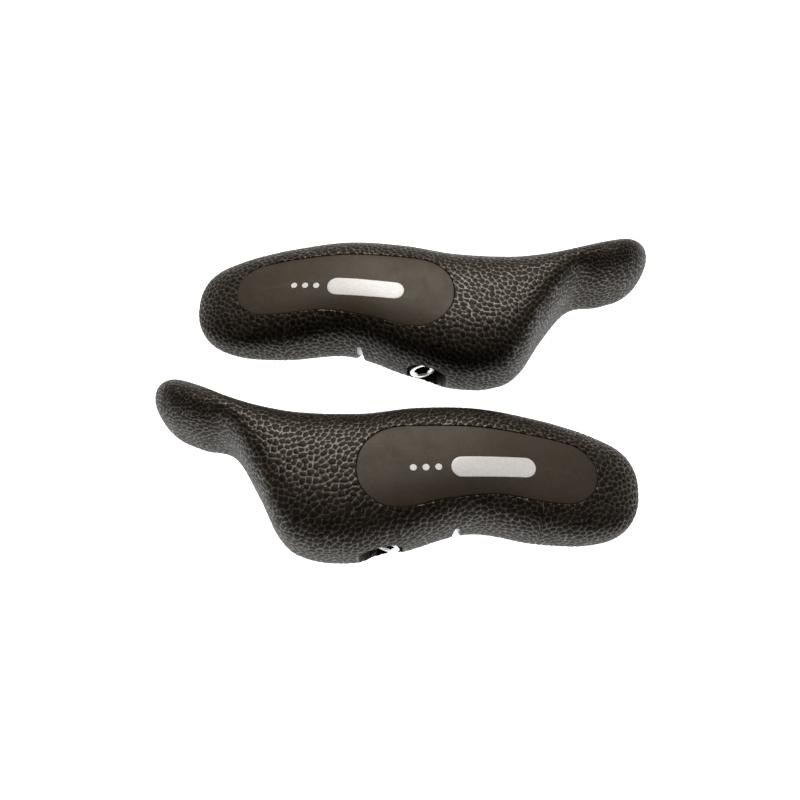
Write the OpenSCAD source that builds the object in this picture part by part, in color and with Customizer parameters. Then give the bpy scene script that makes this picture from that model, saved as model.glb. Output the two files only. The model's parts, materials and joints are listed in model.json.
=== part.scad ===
// A pair of ergonomic bicycle bar ends, lying on their inboard faces.
// Each one is a cast clamp in a nylon frame, under a thick rubber cover with a palm pad let into it.
// The left bar end stands at the origin: its handlebar bore is on the Z axis and opens downwards.
// The palm horn points to -X, the thumb tongue to +X, and the fingers curl round the -Y side.

/* [Body] */
// Reach of the palm horn from the handlebar's axis
horn_reach = 98; // [86:1:118]
// Reach of the thumb tongue from the handlebar's axis
tongue_reach = 62; // [54:1:75]
// Height of the body above the clamp ring
roof_h = 13; // [10:0.5:17]
// Body beyond the clamp ring on the palm side
palm_side = 5.8; // [4.5:0.1:9]
// Body beyond the clamp ring on the finger side
finger_side = 10; // [8:0.5:13]
// Rounding of the horn's end, seen from above
horn_end_r = 23; // [16:1:26]
// Rounding of the tongue's end, seen from above
tongue_end_r = 11; // [8:0.5:14]

/* [Rubber cover] */
// Thickness of the rubber
cover_t = 4; // [3:0.25:5]
// Slice taken off the underside to leave it flat
floor_cut = 1.5; // [1:0.25:2]
// Height of the notch where the slit comes out of the cover
notch_h = 17.5; // [9:0.5:18]
// Width of that notch at the underside
notch_w = 4.6; // [3:0.2:5]

/* [Palm pad] */
// Thickness of the palm pad
pad_t = 2.2; // [1.6:0.2:2.6]
// Depth of the pad's surface under the rubber's
pad_drop = 0.3; // [0.1:0.05:0.5]
// Width of the groove round the pad
pad_groove = 0.25; // [0.15:0.05:0.6]
// Length of the pad
pad_len = 74; // [60:1:80]
// Distance from the handlebar's axis to the pad's near end
pad_start = 9; // [6:0.5:14]

/* [Badge] */
// Length of the printed bar
badge_len = 26; // [16:1:28]
// Width of the printed bar
badge_w = 6.4; // [4:0.2:8]
// Thickness of the printed film
badge_t = 0.15; // [0.1:0.05:0.25]

/* [Clamp] */
// Diameter of the handlebar
bar_d = 22.2; // [18.5:0.1:26.7]
// Radial clearance of the bore round a handlebar, with the bolt slack
bar_gap = 0.05; // [0.02:0.01:0.1]
// Wall of the clamp ring
ring_wall = 4; // [3:0.25:5]
// Depth of the clamp ring along the handlebar
clamp_depth = 20; // [16:0.5:24]
// Width of the clamping slit
slit_w = 2.5; // [1.5:0.25:3.5]
// Metal left round the captive nut
nut_wall = 3; // [2.5:0.25:4]
// Reach of the cast spine into the horn, past the jaw
spine_reach = 20; // [10:1:26]

/* [Clamp bolt] */
// Diameter of the bolt
bolt_d = 6; // [5:0.5:7]
// Length of the bolt under its head
bolt_len = 20; // [17:1:24]
// Diameter of the head where it meets the washer
head_d = 10; // [8.5:0.5:12]
// Diameter of the head's top face
head_top_d = 8.8; // [7:0.2:9.4]
// Height of the head
head_h = 5.5; // [4.6:0.1:6.6]
// Width across the flats of the socket
socket_af = 5; // [4:0.5:5]
// Depth of the socket
socket_depth = 3; // [2.5:0.5:3.5]
// Diameter of the washer
washer_d = 10.4; // [9.6:0.2:13]
// Thickness of the washer
washer_t = 1; // [0.8:0.1:1.2]
// Width across the flats of the square nut
nut_af = 10; // [8.5:0.5:12]
// Thickness of the square nut
nut_t = 5; // [4:0.5:6]
// Radial clearance of the bolt in the washer and the nut
run_gap = 0.05; // [0.02:0.01:0.1]
// Turn of the bolt away from the body's front, in degrees
bolt_turn = 10; // [6:1:14]

/* [Pair] */
// Offset of the right bar end along X
pair_x = -49; // [-60:1:-40]
// Offset of the right bar end along Y
pair_y = -62; // [-80:1:-60]
// Turn of the right bar end, in degrees
pair_turn = -5; // [-10:1:0]

/* [Hidden] */
$fn = 48;

// Clearance between a moulded piece and what it is moulded onto
bond_gap = 0.1;
// Overshoot of a cut past the solid that it goes through
over = 1;

bore_r = bar_d / 2 + bar_gap;
ring_r = bore_r + ring_wall;
palm_y = ring_r + palm_side;
finger_y = ring_r + finger_side;
body_h = clamp_depth + roof_h;
floor_t = cover_t - floor_cut;

// The outline seen from above and from the side. Each row is a share of the reach, from the horn's end at -1
// over the handlebar's axis at 0 to the tongue's end at 1, and a share of the size named beside it.
palm_line = [       // shares of palm_y
    [-1, 1.2], [-0.86, 1.11], [-0.67, 1.23], [-0.46, 1.3], [-0.26, 1.24], [-0.08, 1.06],
    [0.13, 1], [0.35, 1.02], [0.55, 1.13], [0.74, 1.35], [1, 1.6]
];
finger_line = [     // shares of finger_y, negative towards the fingers
    [-1, -0.6], [-0.86, -0.52], [-0.67, -0.53], [-0.46, -0.48], [-0.26, -0.77], [-0.08, -0.98],
    [0.13, -0.93], [0.24, -0.72], [0.36, -0.25], [0.55, 0.37], [0.74, 0.47], [1, 0.7]
];
crown_line = [      // shares of body_h
    [-1, 0.67], [-0.86, 0.74], [-0.67, 0.87], [-0.46, 0.97], [-0.26, 0.985], [-0.08, 1],
    [0.13, 1], [0.35, 0.99], [0.55, 0.94], [0.74, 0.89], [1, 0.76]
];
keel_line = [       // shares of body_h, before the floor cut
    [-1, 0.14], [-0.86, 0.06], [-0.67, 0], [-0.46, -0.035], [-0.26, -0.045], [1, -0.045]
];
// Squareness of the section above its widest height, and below it on the two sides
crown_power = [[-1, 2.8], [0.15, 2.8], [0.6, 2], [1, 2]];
finger_keel_power = [[-1, 2.8], [-0.35, 2.4], [0, 3], [0.4, 2.6], [0.7, 3.2], [1, 3.4]];
palm_keel_power = [[-1, 2.8], [-0.3, 4], [-0.1, 4.8], [0.25, 4.8], [0.6, 3.4], [1, 3.4]];
// Widest height, as a share of the section
waist_share = [[-1, 0.48], [0.15, 0.48], [0.6, 0.58], [1, 0.58]];
// Squareness of the rounded ends, seen from above
end_power = 2.2;

// The pad's outline seen from above: shares of pad_len from its near end, and of palm_y or finger_y
pad_palm_line = [[0, 0.58], [0.25, 0.7], [0.5, 0.755], [0.75, 0.74], [1, 0.66]];
pad_finger_line = [[0, -0.51], [0.2, -0.485], [0.38, -0.32], [0.58, -0.2], [0.8, -0.215], [1, -0.16]];
pad_near_r = 13;
pad_far_r = 10;

// Where the badge sits: its place along the pad as a share of pad_len, its offset from the axis, its lean, and
// how far the bar stands off to make room for the dots
badge_place = 0.48;
badge_y = 2.2;
badge_lean = -7;
badge_shift = 6;
dots = 3;
dot_step = 1.8;

// Rings along the body and points around each: for the skin, and for what it covers
skin_rings = 28;
skin_points = 32;
core_rings = 20;
core_points = 24;

// Cored pockets in the frame's thick ends: place as a share of the reach, length and width of each
core_h = 20;
cores = [[-0.84, 12, 14], [-0.67, 12, 14], [0.6, 12, 5]];

// Places in the clamp's own frame, where the bolt lies along -Y and the bore is at the origin
washer_margin = 1.65;
bolt_x = -(ring_r + washer_d / 2 + washer_margin);
bolt_rise = 1.8;
bolt_z = floor_t + washer_d / 2 + bolt_rise;
slit_y = 0.5;
jaw_t = 7.1;
seat_y = slit_y - slit_w / 2 - jaw_t;
head_top = -seat_y + washer_t + head_h;
bolt_tip = head_top - head_h - bolt_len;
nut_y = slit_y + slit_w / 2 + nut_wall;
arm_back = nut_y + nut_t + nut_wall;
jaw_past = 10.3;
jaw_roof = 3;
jaw_end = bolt_x - washer_d / 2 - jaw_past;
jaw_top = bolt_z + washer_d / 2 + jaw_roof;
spine_end = jaw_end - spine_reach;
spine_w = 8;
recess_gap = 0.4;
recess_r = washer_d / 2 + recess_gap;
recess_rise = 4.2;
recess_shift = 1.6;
bolt_gap = 0.3;
tip_gap = 0.5;
nut_gap = 0.15;
// Where the slit turns out to the finger side, and how far that run goes
bend_x = jaw_end - slit_w / 2;
exit_turn = 33.5;
exit_len = 24;
shoulder_h = 3;
// The lip and the jaw's cut corner
lip_t = 3;
lip_h = 12.5;
lip_rise = 1;
lip_skin = 1.5;
corner_margin = 2;
corner_w = 2.5;

// Cubic curve through the points of a line, each [place, value]
function chord(p, i) = (p[i + 1][1] - p[i][1]) / (p[i + 1][0] - p[i][0]);
function slope(p, i) =
    i == 0 ? chord(p, 0)
    : i == len(p) - 1 ? chord(p, i - 1)
    : (p[i + 1][1] - p[i - 1][1]) / (p[i + 1][0] - p[i - 1][0]);
function span(p, s, i = 0) = i < len(p) - 2 && s > p[i + 1][0] ? span(p, s, i + 1) : i;
function curve_at(p, s) =
    let (
        i = span(p, s),
        w = p[i + 1][0] - p[i][0],
        t = (s - p[i][0]) / w,
        a = p[i][1],
        b = p[i + 1][1]
    )
    a * (2 * t ^ 3 - 3 * t ^ 2 + 1) + b * (3 * t ^ 2 - 2 * t ^ 3)
        + w * (slope(p, i) * (t ^ 3 - 2 * t ^ 2 + t) + slope(p, i + 1) * (t ^ 3 - t ^ 2));
function line_at(p, s) = lookup(s, p);

// How far a rounded end has opened at a distance d from its tip
function opened(d, r) = pow(1 - pow(1 - min(max(d, 0) / r, 1), end_power), 1 / end_power);
function bend(v, p) = sign(v) * pow(abs(v), 2 / p);
function share_at(x) = x < 0 ? x / horn_reach : x / tongue_reach;

// One ring of the body at x, t under its surface, with n points
function ring_at(x, t, n) =
    let (
        s = share_at(x),
        open_up = opened(x + horn_reach - t, horn_end_r - t) * opened(tongue_reach - t - x, tongue_end_r - t),
        palm = palm_y * curve_at(palm_line, s),
        finger = finger_y * curve_at(finger_line, s),
        top = body_h * curve_at(crown_line, s),
        keel = body_h * curve_at(keel_line, s),
        waist = keel + (top - keel) * line_at(waist_share, s),
        half_w = ((palm - finger) / 2 - t) * open_up
    )
    [for (i = [0:n - 1])
        let (
            a = 360 * i / n,
            rise = sin(a) > 0 ? top - t - waist : waist - keel - t,
            power = line_at(sin(a) > 0 ? crown_power : cos(a) > 0 ? palm_keel_power : finger_keel_power, s)
        )
        [x, (palm + finger) / 2 + half_w * bend(cos(a), power), waist + rise * open_up * bend(sin(a), power)]
    ];
// The middle of the section at x, at its widest height
function centre_at(x) =
    let (
        s = share_at(x),
        top = body_h * curve_at(crown_line, s),
        keel = body_h * curve_at(keel_line, s)
    )
    [
        x, (palm_y * curve_at(palm_line, s) + finger_y * curve_at(finger_line, s)) / 2,
        keel + (top - keel) * line_at(waist_share, s)
    ];

// The body's form, t under its surface: rings crowd towards the two ends, which close in a point
module form(t, rings, points) {
    start = t - horn_reach;
    stop = tongue_reach - t;
    ends = 6;
    horn_xs = [for (i = [1:ends]) start + (horn_end_r - t) * (1 - cos(90 * i / ends))];
    tongue_xs = [for (i = [ends:-1:1]) stop - (tongue_end_r - t) * (1 - cos(90 * i / ends))];
    from = horn_xs[ends - 1];
    to = tongue_xs[0];
    xs = [
        each horn_xs,
        for (i = [1:rings - 1]) from + (to - from) * i / rings,
        each tongue_xs
    ];
    m = len(xs);
    polyhedron(
        points = [
            centre_at(start),
            for (x = xs) each ring_at(x, t, points),
            centre_at(stop)
        ],
        faces = [
            for (i = [0:points - 1])
                let (j = (i + 1) % points)
                each [
                    [0, 1 + i, 1 + j],
                    [m * points + 1, 1 + (m - 1) * points + j, 1 + (m - 1) * points + i]
                ],
            for (k = [0:m - 2], i = [0:points - 1])
                let (
                    j = (i + 1) % points,
                    a = 1 + k * points,
                    b = a + points
                )
                each [[a + i, b + j, a + j], [a + i, b + i, b + j]]
        ]
    );
}

// Everything above the flat underside
module above_floor() {
    translate([-horn_reach - over, -3 * finger_y, 0])
        cube([horn_reach + tongue_reach + 2 * over, 6 * finger_y, body_h + over]);
}

// Moves children from the clamp's frame into the body's
module in_clamp_frame() {
    rotate([0, 0, bolt_turn]) children();
}

// The same, with +Z running out along the bolt
module along_bolt() {
    in_clamp_frame() translate([bolt_x, 0, bolt_z]) rotate([90, 0, 0]) children();
}

// The slit's run seen from above, back from the bore and past the bolt
module slit_run(w) {
    translate([bend_x - w / 2, slit_y - w / 2]) square([w / 2 - bend_x, w]);
}

// The same with its way out to the finger side
module slit_path(w) {
    slit_run(w);
    translate([bend_x, slit_y]) rotate(-90 - exit_turn) translate([0, -w / 2]) square([exit_len, w]);
}

// The jaw and the fixed arm seen from above, with the jaw's outer corner cut back from the body's surface
module arms_outline() {
    polygon([
        [0, seat_y], [bolt_x - washer_d / 2 - corner_margin, seat_y], [jaw_end, slit_y - corner_w],
        [jaw_end, slit_y], [bend_x - slit_w / 2 - lip_t, slit_y], [bend_x - slit_w / 2 - lip_t, arm_back],
        [0, arm_back]
    ]);
    translate([spine_end, arm_back - spine_w]) square([-spine_end, spine_w]);
}

// The cast lip that backs the notch on the horn's side, under the cover's skin
module lip(g) {
    resize([0, 0, 0]) intersection() {
        form(lip_skin - g, core_rings, core_points);
        in_clamp_frame() translate([bend_x, slit_y, floor_t + lip_rise - g]) rotate([0, 0, -90 - exit_turn])
            translate([-g, -slit_w / 2 - lip_t - g, 0])
                cube([exit_len, lip_t + slit_w / 2 + 2 * g, lip_h + 2 * g]);
    }
}

// The way that the bolt passes along, from just past its tip to its head
module bolt_way() {
    along_bolt() translate([0, 0, bolt_tip - tip_gap])
        cylinder(r = bolt_d / 2 + bolt_gap, h = head_top - bolt_tip + tip_gap);
}

// What the cover and the frame are moulded round, grown by g
module clamp_block(g) {
    translate([0, 0, -over]) cylinder(r = ring_r + g, h = clamp_depth + g + over);
    in_clamp_frame() translate([0, 0, floor_t - g])
        linear_extrude(jaw_top - floor_t + 2 * g) offset(delta = g) arms_outline();
    lip(g);
}

// The slit through the moulded pieces, with its way out flared towards the underside
module slit_cut() {
    in_clamp_frame() {
        translate([0, 0, -over]) linear_extrude(notch_h) slit_run(slit_w);
        translate([bend_x, slit_y, 0]) rotate([0, 0, -90 - exit_turn]) rotate([90, 0, 90])
            linear_extrude(exit_len) polygon([
                [-notch_w / 2, -over], [notch_w / 2, -over], [slit_w / 2, notch_h - shoulder_h],
                [slit_w / 4, notch_h], [-slit_w / 4, notch_h], [-slit_w / 2, notch_h - shoulder_h]
            ]);
    }
}

// The pocket that the bolt's head lies in, open to the finger side and roomier towards the tongue
module head_recess() {
    along_bolt() translate([0, 0, -seat_y]) linear_extrude(finger_y * 1.5) hull() {
        for (x = [0, recess_shift], y = [0, recess_rise]) translate([x, y]) circle(r = recess_r);
    }
}

// The pad's outline, grown by g
module pad_outline(g) {
    steps = 36;
    xs = [for (i = [0:steps]) (1 - cos(180 * i / steps)) / 2];
    function across(s, k) =
        let (
            palm = palm_y * curve_at(pad_palm_line, s),
            finger = finger_y * curve_at(pad_finger_line, s),
            open_up = opened(s * pad_len, pad_near_r) * opened((1 - s) * pad_len, pad_far_r)
        )
        (palm + finger) / 2 + k * (palm - finger) / 2 * open_up;
    offset(delta = g) polygon([
        for (s = xs) [-pad_start - pad_len * s, across(s, 1)],
        for (i = [steps - 1:-1:1]) [-pad_start - pad_len * xs[i], across(xs[i], -1)]
    ]);
}

module pad_prism(g) {
    translate([0, 0, body_h / 2]) linear_extrude(body_h) pad_outline(g);
}

// The printed graphic: one round-ended bar with three dots before it
module badge_outline(flip) {
    dot_d = badge_w / 3;
    end_x = (badge_len - badge_w) / 2;
    translate([-pad_start - pad_len * badge_place, badge_y]) rotate(badge_lean) scale([flip, 1]) {
        hull() for (x = [-end_x, end_x]) translate([badge_shift + x, 0]) circle(d = badge_w, $fn = 24);
        for (i = [1:dots])
            translate([badge_shift - badge_len / 2 - i * dot_d * dot_step, 0]) circle(d = dot_d, $fn = 16);
    }
}

module clamp() {
    color("silver") difference() {
        union() {
            cylinder(r = ring_r, h = clamp_depth);
            in_clamp_frame() translate([0, 0, floor_t]) linear_extrude(jaw_top - floor_t) arms_outline();
            lip(0);
        }
        translate([0, 0, -over]) cylinder(r = bore_r, h = clamp_depth + 2 * over);
        in_clamp_frame() translate([0, 0, -over]) linear_extrude(clamp_depth + 2 * over) slit_path(slit_w);
        bolt_way();
        nut_pocket();
    }
}

// The slot that the square nut slides up into from the underside
module nut_pocket() {
    in_clamp_frame() translate([bolt_x - nut_af / 2 - nut_gap, nut_y - nut_gap, floor_t - over])
        cube([nut_af + 2 * nut_gap, nut_t + 2 * nut_gap, bolt_z + nut_af / 2 + nut_gap - floor_t + over]);
}

// The cored pockets, open towards the floor of the cover
module core_pockets() {
    for (c = cores) {
        x = c[0] * (c[0] < 0 ? horn_reach : tongue_reach);
        translate([x, centre_at(x)[1], core_h / 2]) cube([c[1], c[2], core_h], center = true);
    }
}

module inner_frame() {
    color("dimgray") resize([0, 0, 0]) difference() {
        intersection() {
            form(cover_t + bond_gap, core_rings, core_points);
            above_floor();
        }
        clamp_block(bond_gap);
        bolt_way();
        slit_cut();
        head_recess();
        core_pockets();
    }
}

module rubber_cover() {
    color("#2a2826") resize([0, 0, 0]) difference() {
        intersection() {
            form(0, skin_rings, skin_points);
            above_floor();
        }
        form(cover_t, core_rings, core_points);
        clamp_block(bond_gap);
        slit_cut();
        head_recess();
        difference() {
            pad_prism(pad_groove);
            form(pad_drop + pad_t + bond_gap, skin_rings, skin_points);
        }
    }
}

module palm_pad() {
    color("#4a4540") resize([0, 0, 0]) intersection() {
        pad_prism(0);
        difference() {
            form(pad_drop, skin_rings, skin_points);
            form(pad_drop + pad_t, skin_rings, skin_points);
        }
    }
}

module badge(flip) {
    color("#e8e6e0") resize([0, 0, 0]) intersection() {
        translate([0, 0, body_h / 2]) linear_extrude(body_h) badge_outline(flip);
        difference() {
            form(pad_drop - badge_t, skin_rings, skin_points);
            form(pad_drop, skin_rings, skin_points);
        }
    }
}

module clamp_bolt() {
    color("gainsboro") along_bolt() difference() {
        union() {
            translate([0, 0, head_top - head_h - bolt_len]) cylinder(d = bolt_d, h = bolt_len);
            translate([0, 0, head_top - head_h]) cylinder(d1 = head_d, d2 = head_top_d, h = head_h);
        }
        translate([0, 0, head_top - socket_depth])
            cylinder(d = socket_af / cos(30), h = socket_depth + over, $fn = 6);
    }
}

module washer() {
    color("lightgray") along_bolt() translate([0, 0, -seat_y]) difference() {
        cylinder(d = washer_d, h = washer_t);
        translate([0, 0, -over]) cylinder(r = bolt_d / 2 + run_gap, h = washer_t + 2 * over);
    }
}

module square_nut() {
    color("darkgray") along_bolt() translate([0, 0, -nut_y - nut_t]) difference() {
        translate([-nut_af / 2, -nut_af / 2, 0]) cube([nut_af, nut_af, nut_t]);
        translate([0, 0, -over]) cylinder(r = bolt_d / 2 + run_gap, h = nut_t + 2 * over);
    }
}

module on_right() {
    translate([pair_x, pair_y, 0]) rotate([0, 0, pair_turn]) mirror([1, 0, 0]) children();
}

clamp();  // left_clamp
inner_frame();  // left_inner_frame
rubber_cover();  // left_rubber_cover
palm_pad();  // left_palm_pad
badge(1);  // left_badge
clamp_bolt();  // left_clamp_bolt
washer();  // left_washer
square_nut();  // left_square_nut
on_right() clamp();  // right_clamp
on_right() inner_frame();  // right_inner_frame
on_right() rubber_cover();  // right_rubber_cover
on_right() palm_pad();  // right_palm_pad
on_right() badge(-1);  // right_badge
on_right() clamp_bolt();  // right_clamp_bolt
on_right() washer();  // right_washer
on_right() square_nut();  // right_square_nut
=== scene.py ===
"""The looks of a pair of ergonomic bicycle bar ends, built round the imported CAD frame.
Lengths are in millimetres and places are in the left bar end's frame, until a mesh is made from them."""

import json
import math

import bmesh
import bpy
import numpy as np
from mathutils import Matrix, Vector, kdtree


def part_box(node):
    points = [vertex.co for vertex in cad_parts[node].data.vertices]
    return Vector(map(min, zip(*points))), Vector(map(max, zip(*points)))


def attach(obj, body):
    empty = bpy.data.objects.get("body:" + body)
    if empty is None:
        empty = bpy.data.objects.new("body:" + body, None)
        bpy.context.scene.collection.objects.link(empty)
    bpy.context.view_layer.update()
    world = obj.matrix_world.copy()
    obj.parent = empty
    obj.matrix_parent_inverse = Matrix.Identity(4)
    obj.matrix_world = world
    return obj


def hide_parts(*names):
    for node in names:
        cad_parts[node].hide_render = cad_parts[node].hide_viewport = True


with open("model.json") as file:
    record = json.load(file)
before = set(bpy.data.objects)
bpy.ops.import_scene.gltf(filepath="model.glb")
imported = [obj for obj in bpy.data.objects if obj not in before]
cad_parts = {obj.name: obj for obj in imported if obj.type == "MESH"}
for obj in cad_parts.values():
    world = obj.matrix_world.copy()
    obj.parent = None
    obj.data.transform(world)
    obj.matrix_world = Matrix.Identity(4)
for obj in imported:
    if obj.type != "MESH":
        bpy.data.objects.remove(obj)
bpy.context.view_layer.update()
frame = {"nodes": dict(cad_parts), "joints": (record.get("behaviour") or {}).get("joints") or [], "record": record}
record = frame["record"]
MM = 0.001

# ---------------------------------------------------------------- sizes from the frame
cover_low, cover_high = (np.array(c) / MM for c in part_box("left_rubber_cover"))
mounts = {m["name"]: m for m in record["mounts"]}
joints = {j["name"]: j for j in frame["joints"]}
HORN_REACH = -cover_low[0]
TONGUE_REACH = cover_high[0]
BORE_R = mounts["left_bar_bore"]["dims"]["r_mm"]
CLAMP_DEPTH = mounts["left_bar_bore"]["dims"]["length_mm"]
bolt_foot = Vector(joints["left_bolt_turn"]["pos_m"]) / MM
bolt_axis = Vector(joints["left_bolt_turn"]["axis"])
BOLT_TURN = math.atan2(bolt_axis.x, -bolt_axis.y)

# ---------------------------------------------------------------- sizes the frame doesn't hold
RING_WALL = 4
RING_R = BORE_R + RING_WALL
PALM_Y = RING_R + 5.8
FINGER_Y = RING_R + 10
BODY_H = CLAMP_DEPTH + 13
HORN_END_R = 23
TONGUE_END_R = 11
COVER_T = 4
BOND_GAP = 0.1
PAD_T = 2.2
PAD_DROP = 0.3
PAD_GROOVE = 0.25
PAD_LEN = 74
PAD_START = 9
PAD_NEAR_R = 13
PAD_FAR_R = 10
PAD_SPINE = 8
BADGE_LEN = 26
BADGE_W = 6.4
BADGE_T = 0.15
BADGE_SHIFT = 6
BADGE_PLACE = (-PAD_START - 0.48 * PAD_LEN, 2.2)
BADGE_LEAN = math.radians(-7)
SLIT_W = 2.5
SLIT_Y = 0.5
NOTCH_H = 17.5
NOTCH_W = 4.6
SHOULDER_H = 3
EXIT_TURN = math.radians(33.5)
EXIT_LEN = 24
HEAD_D = 10
HEAD_TOP_D = 8.8
HEAD_H = 5.5
SOCKET_AF = 5
SOCKET_DEPTH = 3
BOLT_D = 6
BOLT_LEN = 20
PITCH = 1
WASHER_D = 10.4
WASHER_T = 1
NUT_AF = 10
NUT_T = 5
NUT_WALL = 3
NUT_Y = SLIT_Y + SLIT_W / 2 + NUT_WALL
JAW_T = 7.1
SEAT_Y = SLIT_Y - SLIT_W / 2 - JAW_T
RUN_GAP = 0.05
RECESS_GAP = 0.4
RECESS_R = WASHER_D / 2 + RECESS_GAP
RECESS_RISE = 4.2
RECESS_SHIFT = 1.6
BOLT_X = bolt_foot.x * math.cos(BOLT_TURN) + bolt_foot.y * math.sin(BOLT_TURN)
BOLT_Z = bolt_foot.z
BEND_OUT = 10.3
BEND_X = BOLT_X - WASHER_D / 2 - BEND_OUT - SLIT_W / 2
HEAD_TOP = -SEAT_Y + WASHER_T + HEAD_H

# The outline, as shares of the reaches and of the sizes named beside each line
PALM_LINE = [(-1, 1.2), (-0.86, 1.11), (-0.67, 1.23), (-0.46, 1.3), (-0.26, 1.24), (-0.08, 1.06),
             (0.13, 1), (0.35, 1.02), (0.55, 1.13), (0.74, 1.35), (1, 1.6)]
FINGER_LINE = [(-1, -0.6), (-0.86, -0.52), (-0.67, -0.53), (-0.46, -0.48), (-0.26, -0.77), (-0.08, -0.98),
               (0.13, -0.93), (0.24, -0.72), (0.36, -0.25), (0.55, 0.37), (0.74, 0.47), (1, 0.7)]
CROWN_LINE = [(-1, 0.67), (-0.86, 0.74), (-0.67, 0.87), (-0.46, 0.97), (-0.26, 0.985), (-0.08, 1),
              (0.13, 1), (0.35, 0.99), (0.55, 0.94), (0.74, 0.89), (1, 0.76)]
KEEL_LINE = [(-1, 0.14), (-0.86, 0.06), (-0.67, 0), (-0.46, -0.035), (-0.26, -0.045), (1, -0.045)]
CROWN_POWER = [(-1, 2.8), (0.15, 2.8), (0.6, 2), (1, 2)]
FINGER_KEEL_POWER = [(-1, 2.8), (-0.35, 2.4), (0, 3), (0.4, 2.6), (0.7, 3.2), (1, 3.4)]
PALM_KEEL_POWER = [(-1, 2.8), (-0.3, 4), (-0.1, 4.8), (0.25, 4.8), (0.6, 3.4), (1, 3.4)]
WAIST_SHARE = [(-1, 0.48), (0.15, 0.48), (0.6, 0.58), (1, 0.58)]
END_POWER = 2.2
PAD_PALM_LINE = [(0, 0.58), (0.25, 0.7), (0.5, 0.755), (0.75, 0.74), (1, 0.66)]
PAD_FINGER_LINE = [(0, -0.51), (0.2, -0.485), (0.38, -0.32), (0.58, -0.2), (0.8, -0.215), (1, -0.16)]


# ---------------------------------------------------------------- the body's form
def curve_at(line, s):
    """A cubic curve through the points of a line, as in the CAD source."""
    p = np.array(line, float)
    i = np.searchsorted(p[1:-1, 0], s, side="left")
    chords = np.diff(p[:, 1]) / np.diff(p[:, 0])
    middle = (p[2:, 1] - p[:-2, 1]) / (p[2:, 0] - p[:-2, 0])
    slopes = np.concatenate([chords[:1], middle, chords[-1:]])
    w = p[i + 1, 0] - p[i, 0]
    t = (s - p[i, 0]) / w
    values = p[i, 1] * (2 * t**3 - 3 * t**2 + 1) + p[i + 1, 1] * (3 * t**2 - 2 * t**3)
    return values + w * (slopes[i] * (t**3 - 2 * t**2 + t) + slopes[i + 1] * (t**3 - t**2))


def line_at(line, s):
    """Straight runs through the points of a line."""
    p = np.array(line, float)
    return np.interp(s, p[:, 0], p[:, 1])


def opened(d, r):
    """How far a rounded end has opened, d in from its tip: 0 at the tip to 1 at r and beyond."""
    return (1 - (1 - np.clip(d / r, 0, 1)) ** END_POWER) ** (1 / END_POWER)


def smooth(low, high, v):
    """0 at low to 1 at high, with a soft start and end."""
    t = np.clip((v - low) / (high - low), 0, 1)
    return t * t * (3 - 2 * t)


def share_at(x):
    """x as a share of the reach on its own side of the bore."""
    return np.where(x < 0, x / HORN_REACH, x / TONGUE_REACH)


def section(x, t):
    """The section at x, t under the skin: its middle, half width, waist, and how far it rises and falls from there."""
    s = share_at(x)
    palm = PALM_Y * curve_at(PALM_LINE, s)
    finger = FINGER_Y * curve_at(FINGER_LINE, s)
    top = BODY_H * curve_at(CROWN_LINE, s)
    keel = BODY_H * curve_at(KEEL_LINE, s)
    waist = keel + (top - keel) * line_at(WAIST_SHARE, s)
    open_up = opened(x + HORN_REACH - t, HORN_END_R - t) * opened(TONGUE_REACH - t - x, TONGUE_END_R - t)
    half_w = ((palm - finger) / 2 - t) * open_up
    return s, (palm + finger) / 2, half_w, waist, (top - t - waist) * open_up, (waist - keel - t) * open_up


def skin(x, angle, t=0.0):
    """Points t under the skin, at x and at an angle round the section, from the palm side over the top."""
    s, middle, half_w, waist, rise, fall = section(x, t)
    c, v = np.cos(angle), np.sin(angle)
    keel_power = np.where(c > 0, line_at(PALM_KEEL_POWER, s), line_at(FINGER_KEEL_POWER, s))
    power = np.where(v > 0, line_at(CROWN_POWER, s), keel_power)
    y = middle + half_w * np.sign(c) * np.abs(c) ** (2 / power)
    z = waist + np.where(v > 0, rise, fall) * np.sign(v) * np.abs(v) ** (2 / power)
    return np.stack([np.broadcast_to(x, y.shape), y, z], -1)


def roof(x, y, t):
    """Height of the top surface over (x, y), t under the skin."""
    s, middle, half_w, waist, rise, _ = section(x, t)
    power = line_at(CROWN_POWER, s)
    across = np.clip(np.abs(y - middle) / np.maximum(half_w, 1e-6), 0, 1)
    return waist + rise * (1 - across**power) ** (1 / power)


def depth_at(points):
    """Roughly how deep points lie under the skin."""
    x, y, z = points.T
    s, middle, half_w, waist, rise, fall = section(x, 0)
    keel_power = np.where(y > middle, line_at(PALM_KEEL_POWER, s), line_at(FINGER_KEEL_POWER, s))
    power = np.where(z > waist, line_at(CROWN_POWER, s), keel_power)
    height = np.maximum(np.where(z > waist, rise, fall), 1e-6)
    half_w = np.maximum(half_w, 1e-6)
    r = ((np.abs(y - middle) / half_w) ** power + (np.abs(z - waist) / height) ** power) ** (1 / power)
    return (1 - r) * np.minimum(half_w, height)


def stations(step, t=0.0):
    """Places along the body, evenly spread over the skin: they crowd towards the two round ends."""
    horn_r, tongue_r = HORN_END_R - t, TONGUE_END_R - t
    start, stop = t - HORN_REACH, TONGUE_REACH - t
    horn_n, tongue_n = (int(r * math.pi / 2 / step) for r in (horn_r, tongue_r))
    horn = start + horn_r * (1 - np.cos(np.arange(1, horn_n) * math.pi / 2 / horn_n))
    tongue = stop - tongue_r * (1 - np.cos(np.arange(tongue_n - 1, 0, -1) * math.pi / 2 / tongue_n))
    middle = np.linspace(start + horn_r, stop - tongue_r, int((stop - start - horn_r - tongue_r) / step))
    return np.concatenate([horn, middle, tongue])


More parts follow.
